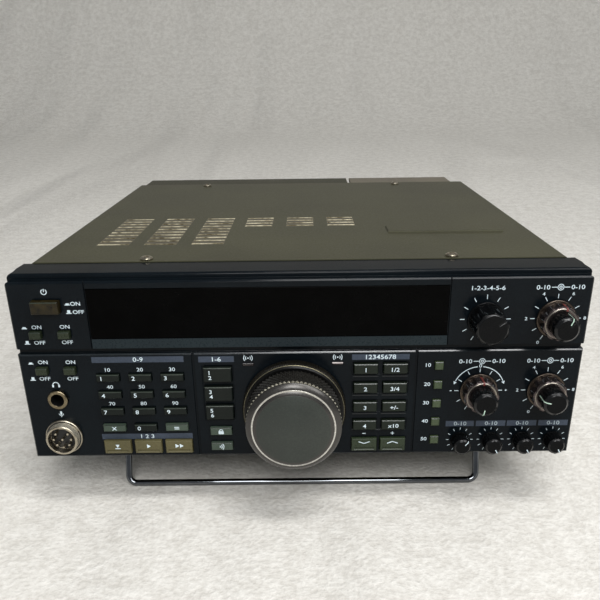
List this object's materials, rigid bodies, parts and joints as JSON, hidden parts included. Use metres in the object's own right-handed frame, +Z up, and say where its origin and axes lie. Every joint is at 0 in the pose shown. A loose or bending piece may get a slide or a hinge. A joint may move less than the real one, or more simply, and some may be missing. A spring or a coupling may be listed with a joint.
{
  "type": "short-wave transceiver",
  "caption": "Desk-top short-wave transceiver: dark control panel with tuning dial, double knobs and keys, a vented steel case, finned back and a wire bail that raises its front.",
  "frame": {"origin": "middle of the footprint on the floor, with the set standing on its open bail and rear feet", "axes": "+X to the right as one faces the panel, +Y from the panel to the back, +Z up from the floor"},
  "size_m": [0.271, 0.336, 0.126],
  "materials": {
    "panel_moulding": "fine-grained blue-black moulding",
    "window_acrylic": "smoked acrylic, polished",
    "indicator_lens": "dark tinted lens",
    "nickel_plate": "bright nickel plate",
    "circuit_board": "green solder mask",
    "plated_steel": "zinc-plated sheet",
    "speaker_frame": "dark pressed steel and paper",
    "olive_heat_sink": "olive-grey paint on a casting",
    "grey_heat_sink": "paler weathered aluminium",
    "rear_sockets": "nickel sockets and black mouldings",
    "cover_paint": "olive-brown textured paint",
    "foot_rubber": "matt black rubber",
    "bail_chrome": "bright chrome wire",
    "dial_satin": "satin grey face, silver bezel and black grip",
    "knob_black": "black moulding",
    "ring_bronze": "dark metallised plastic",
    "switch_olive": "dark olive moulding",
    "key_khaki": "khaki moulding",
    "key_pale": "pale grey-green moulding",
    "key_grey_green": "grey-green moulding",
    "key_charcoal": "charcoal moulding"
  },
  "bodies": {
    "case": {"front_panel": "panel_moulding", "display_window": "window_acrylic", "indicator_lenses": "indicator_lens", "phones_jack": "nickel_plate", "mic_connector": "nickel_plate", "control_board": "circuit_board", "chassis": "plated_steel", "main_board": "circuit_board", "speaker": "speaker_frame", "heat_sink_wide": "olive_heat_sink", "heat_sink_narrow": "grey_heat_sink", "rear_connectors": "rear_sockets", "top_cover": "cover_paint", "bottom_cover": "cover_paint", "cover_screws": "nickel_plate", "feet": "foot_rubber"},
    "bail": {"bail": "bail_chrome"},
    "tuning_dial": {"tuning_dial": "dial_satin"},
    "channel_knob": {"channel_knob": "knob_black"},
    "notch_ring": {"notch_ring": "ring_bronze"},
    "shift_ring": {"shift_ring": "ring_bronze"},
    "gain_ring": {"gain_ring": "ring_bronze"},
    "squelch_knob": {"squelch_knob": "knob_black"},
    "offset_knob": {"offset_knob": "knob_black"},
    "volume_knob": {"volume_knob": "knob_black"},
    "delay_knob": {"delay_knob": "knob_black"},
    "carrier_knob": {"carrier_knob": "knob_black"},
    "output_knob": {"output_knob": "knob_black"},
    "mic_gain_knob": {"mic_gain_knob": "knob_black"},
    "power_button": {"power_button": "switch_olive"},
    "vox_button": {"vox_button": "switch_olive"},
    "attenuator_button": {"attenuator_button": "switch_olive"},
    "send_button": {"send_button": "switch_olive"},
    "tuner_button": {"tuner_button": "switch_olive"},
    "keypad_column_1": {"keypad_column_1": "key_charcoal"},
    "keypad_column_2": {"keypad_column_2": "key_charcoal"},
    "keypad_column_3": {"keypad_column_3": "key_charcoal"},
    "memory_key_1": {"memory_key_1": "key_khaki"},
    "memory_key_2": {"memory_key_2": "key_khaki"},
    "memory_key_3": {"memory_key_3": "key_khaki"},
    "mode_key_1": {"mode_key_1": "key_charcoal"},
    "mode_key_2": {"mode_key_2": "key_charcoal"},
    "mode_key_3": {"mode_key_3": "key_charcoal"},
    "lock_key": {"lock_key": "key_grey_green"},
    "voice_key": {"voice_key": "key_grey_green"},
    "function_key_1": {"function_key_1": "key_charcoal"},
    "function_key_2": {"function_key_2": "key_charcoal"},
    "function_key_3": {"function_key_3": "key_charcoal"},
    "function_key_4": {"function_key_4": "key_charcoal"},
    "function_key_5": {"function_key_5": "key_charcoal"},
    "function_key_6": {"function_key_6": "key_charcoal"},
    "function_key_7": {"function_key_7": "key_charcoal"},
    "function_key_8": {"function_key_8": "key_charcoal"},
    "down_key": {"down_key": "key_charcoal"},
    "up_key": {"up_key": "key_charcoal"},
    "side_key_1": {"side_key_1": "key_pale"},
    "side_key_2": {"side_key_2": "key_pale"},
    "side_key_3": {"side_key_3": "key_pale"},
    "side_key_4": {"side_key_4": "key_pale"},
    "side_key_5": {"side_key_5": "key_pale"}
  },
  "joints": [
    {"name": "bail_fold", "type": "hinge", "parent": "case", "child": "bail", "pos_m": [0, -0.11774, 0.02236], "axis": [1, 0, 0], "range_deg": [0, 110]},
    {"name": "tuning_dial_turn", "type": "hinge", "parent": "case", "child": "tuning_dial", "pos_m": [-0.0032, -0.14627, 0.0576], "axis": [0, 0.9969, -0.0781], "continuous": true},
    {"name": "channel_knob_turn", "type": "hinge", "parent": "case", "child": "channel_knob", "pos_m": [0.0871, -0.1428, 0.10186], "axis": [0, 0.9969, -0.0781], "continuous": true},
    {"name": "notch_ring_turn", "type": "hinge", "parent": "case", "child": "notch_ring", "pos_m": [0.1199, -0.1428, 0.10186], "axis": [0, 0.9969, -0.0781], "range_deg": [-165, 135]},
    {"name": "squelch_knob_turn", "type": "hinge", "parent": "case", "child": "squelch_knob", "pos_m": [0.1199, -0.1428, 0.10186], "axis": [0, 0.9969, -0.0781], "range_deg": [-190, 110]},
    {"name": "shift_ring_turn", "type": "hinge", "parent": "case", "child": "shift_ring", "pos_m": [0.0871, -0.14566, 0.06537], "axis": [0, 0.9969, -0.0781], "range_deg": [-153, 147]},
    {"name": "offset_knob_turn", "type": "hinge", "parent": "case", "child": "offset_knob", "pos_m": [0.0871, -0.14566, 0.06537], "axis": [0, 0.9969, -0.0781], "range_deg": [0, 300]},
    {"name": "gain_ring_turn", "type": "hinge", "parent": "case", "child": "gain_ring", "pos_m": [0.1199, -0.14566, 0.06537], "axis": [0, 0.9969, -0.0781], "range_deg": [-300, 0]},
    {"name": "volume_knob_turn", "type": "hinge", "parent": "case", "child": "volume_knob", "pos_m": [0.1199, -0.14566, 0.06537], "axis": [0, 0.9969, -0.0781], "range_deg": [-72, 228]},
    {"name": "delay_knob_turn", "type": "hinge", "parent": "case", "child": "delay_knob", "pos_m": [0.08, -0.14778, 0.03835], "axis": [0, 0.9969, -0.0781], "range_deg": [-192, 108]},
    {"name": "carrier_knob_turn", "type": "hinge", "parent": "case", "child": "carrier_knob", "pos_m": [0.0955, -0.14778, 0.03835], "axis": [0, 0.9969, -0.0781], "range_deg": [-300, 0]},
    {"name": "output_knob_turn", "type": "hinge", "parent": "case", "child": "output_knob", "pos_m": [0.111, -0.14778, 0.03835], "axis": [0, 0.9969, -0.0781], "range_deg": [-300, 0]},
    {"name": "mic_gain_knob_turn", "type": "hinge", "parent": "case", "child": "mic_gain_knob", "pos_m": [0.1265, -0.14778, 0.03835], "axis": [0, 0.9969, -0.0781], "range_deg": [-300, 0]},
    {"name": "power_button_press", "type": "slide", "parent": "case", "child": "power_button", "axis": [0, 0.9969, -0.0781], "range_m": [0, 0.0025], "stiffness_N_per_m": 500, "springref_m": -0.001},
    {"name": "vox_button_press", "type": "slide", "parent": "case", "child": "vox_button", "axis": [0, 0.9969, -0.0781], "range_m": [0, 0.0025], "stiffness_N_per_m": 500, "springref_m": -0.001},
    {"name": "attenuator_button_press", "type": "slide", "parent": "case", "child": "attenuator_button", "axis": [0, 0.9969, -0.0781], "range_m": [0, 0.0025], "stiffness_N_per_m": 500, "springref_m": -0.001},
    {"name": "send_button_press", "type": "slide", "parent": "case", "child": "send_button", "axis": [0, 0.9969, -0.0781], "range_m": [0, 0.0025], "stiffness_N_per_m": 500, "springref_m": -0.001},
    {"name": "tuner_button_press", "type": "slide", "parent": "case", "child": "tuner_button", "axis": [0, 0.9969, -0.0781], "range_m": [0, 0.0025], "stiffness_N_per_m": 500, "springref_m": -0.001},
    {"name": "keypad_column_1_press", "type": "slide", "parent": "case", "child": "keypad_column_1", "axis": [0, 0.9969, -0.0781], "range_m": [0, 0.0008], "stiffness_N_per_m": 600, "springref_m": -0.001},
    {"name": "keypad_column_2_press", "type": "slide", "parent": "case", "child": "keypad_column_2", "axis": [0, 0.9969, -0.0781], "range_m": [0, 0.0008], "stiffness_N_per_m": 600, "springref_m": -0.001},
    {"name": "keypad_column_3_press", "type": "slide", "parent": "case", "child": "keypad_column_3", "axis": [0, 0.9969, -0.0781], "range_m": [0, 0.0008], "stiffness_N_per_m": 600, "springref_m": -0.001},
    {"name": "memory_key_1_press", "type": "slide", "parent": "case", "child": "memory_key_1", "axis": [0, 0.9969, -0.0781], "range_m": [0, 0.0008], "stiffness_N_per_m": 600, "springref_m": -0.001},
    {"name": "memory_key_2_press", "type": "slide", "parent": "case", "child": "memory_key_2", "axis": [0, 0.9969, -0.0781], "range_m": [0, 0.0008], "stiffness_N_per_m": 600, "springref_m": -0.001},
    {"name": "memory_key_3_press", "type": "slide", "parent": "case", "child": "memory_key_3", "axis": [0, 0.9969, -0.0781], "range_m": [0, 0.0008], "stiffness_N_per_m": 600, "springref_m": -0.001},
    {"name": "mode_key_1_press", "type": "slide", "parent": "case", "child": "mode_key_1", "axis": [0, 0.9969, -0.0781], "range_m": [0, 0.0008], "stiffness_N_per_m": 600, "springref_m": -0.001},
    {"name": "mode_key_2_press", "type": "slide", "parent": "case", "child": "mode_key_2", "axis": [0, 0.9969, -0.0781], "range_m": [0, 0.0008], "stiffness_N_per_m": 600, "springref_m": -0.001},
    {"name": "mode_key_3_press", "type": "slide", "parent": "case", "child": "mode_key_3", "axis": [0, 0.9969, -0.0781], "range_m": [0, 0.0008], "stiffness_N_per_m": 600, "springref_m": -0.001},
    {"name": "lock_key_press", "type": "slide", "parent": "case", "child": "lock_key", "axis": [0, 0.9969, -0.0781], "range_m": [0, 0.0008], "stiffness_N_per_m": 600, "springref_m": -0.001},
    {"name": "voice_key_press", "type": "slide", "parent": "case", "child": "voice_key", "axis": [0, 0.9969, -0.0781], "range_m": [0, 0.0008], "stiffness_N_per_m": 600, "springref_m": -0.001},
    {"name": "function_key_1_press", "type": "slide", "parent": "case", "child": "function_key_1", "axis": [0, 0.9969, -0.0781], "range_m": [0, 0.0008], "stiffness_N_per_m": 600, "springref_m": -0.001},
    {"name": "function_key_2_press", "type": "slide", "parent": "case", "child": "function_key_2", "axis": [0, 0.9969, -0.0781], "range_m": [0, 0.0008], "stiffness_N_per_m": 600, "springref_m": -0.001},
    {"name": "function_key_3_press", "type": "slide", "parent": "case", "child": "function_key_3", "axis": [0, 0.9969, -0.0781], "range_m": [0, 0.0008], "stiffness_N_per_m": 600, "springref_m": -0.001},
    {"name": "function_key_4_press", "type": "slide", "parent": "case", "child": "function_key_4", "axis": [0, 0.9969, -0.0781], "range_m": [0, 0.0008], "stiffness_N_per_m": 600, "springref_m": -0.001},
    {"name": "function_key_5_press", "type": "slide", "parent": "case", "child": "function_key_5", "axis": [0, 0.9969, -0.0781], "range_m": [0, 0.0008], "stiffness_N_per_m": 600, "springref_m": -0.001},
    {"name": "function_key_6_press", "type": "slide", "parent": "case", "child": "function_key_6", "axis": [0, 0.9969, -0.0781], "range_m": [0, 0.0008], "stiffness_N_per_m": 600, "springref_m": -0.001},
    {"name": "function_key_7_press", "type": "slide", "parent": "case", "child": "function_key_7", "axis": [0, 0.9969, -0.0781], "range_m": [0, 0.0008], "stiffness_N_per_m": 600, "springref_m": -0.001},
    {"name": "function_key_8_press", "type": "slide", "parent": "case", "child": "function_key_8", "axis": [0, 0.9969, -0.0781], "range_m": [0, 0.0008], "stiffness_N_per_m": 600, "springref_m": -0.001},
    {"name": "down_key_press", "type": "slide", "parent": "case", "child": "down_key", "axis": [0, 0.9969, -0.0781], "range_m": [0, 0.0008], "stiffness_N_per_m": 600, "springref_m": -0.001},
    {"name": "up_key_press", "type": "slide", "parent": "case", "child": "up_key", "axis": [0, 0.9969, -0.0781], "range_m": [0, 0.0008], "stiffness_N_per_m": 600, "springref_m": -0.001},
    {"name": "side_key_1_press", "type": "slide", "parent": "case", "child": "side_key_1", "axis": [0, 0.9969, -0.0781], "range_m": [0, 0.0008], "stiffness_N_per_m": 600, "springref_m": -0.001},
    {"name": "side_key_2_press", "type": "slide", "parent": "case", "child": "side_key_2", "axis": [0, 0.9969, -0.0781], "range_m": [0, 0.0008], "stiffness_N_per_m": 600, "springref_m": -0.001},
    {"name": "side_key_3_press", "type": "slide", "parent": "case", "child": "side_key_3", "axis": [0, 0.9969, -0.0781], "range_m": [0, 0.0008], "stiffness_N_per_m": 600, "springref_m": -0.001},
    {"name": "side_key_4_press", "type": "slide", "parent": "case", "child": "side_key_4", "axis": [0, 0.9969, -0.0781], "range_m": [0, 0.0008], "stiffness_N_per_m": 600, "springref_m": -0.001},
    {"name": "side_key_5_press", "type": "slide", "parent": "case", "child": "side_key_5", "axis": [0, 0.9969, -0.0781], "range_m": [0, 0.0008], "stiffness_N_per_m": 600, "springref_m": -0.001}
  ]
}
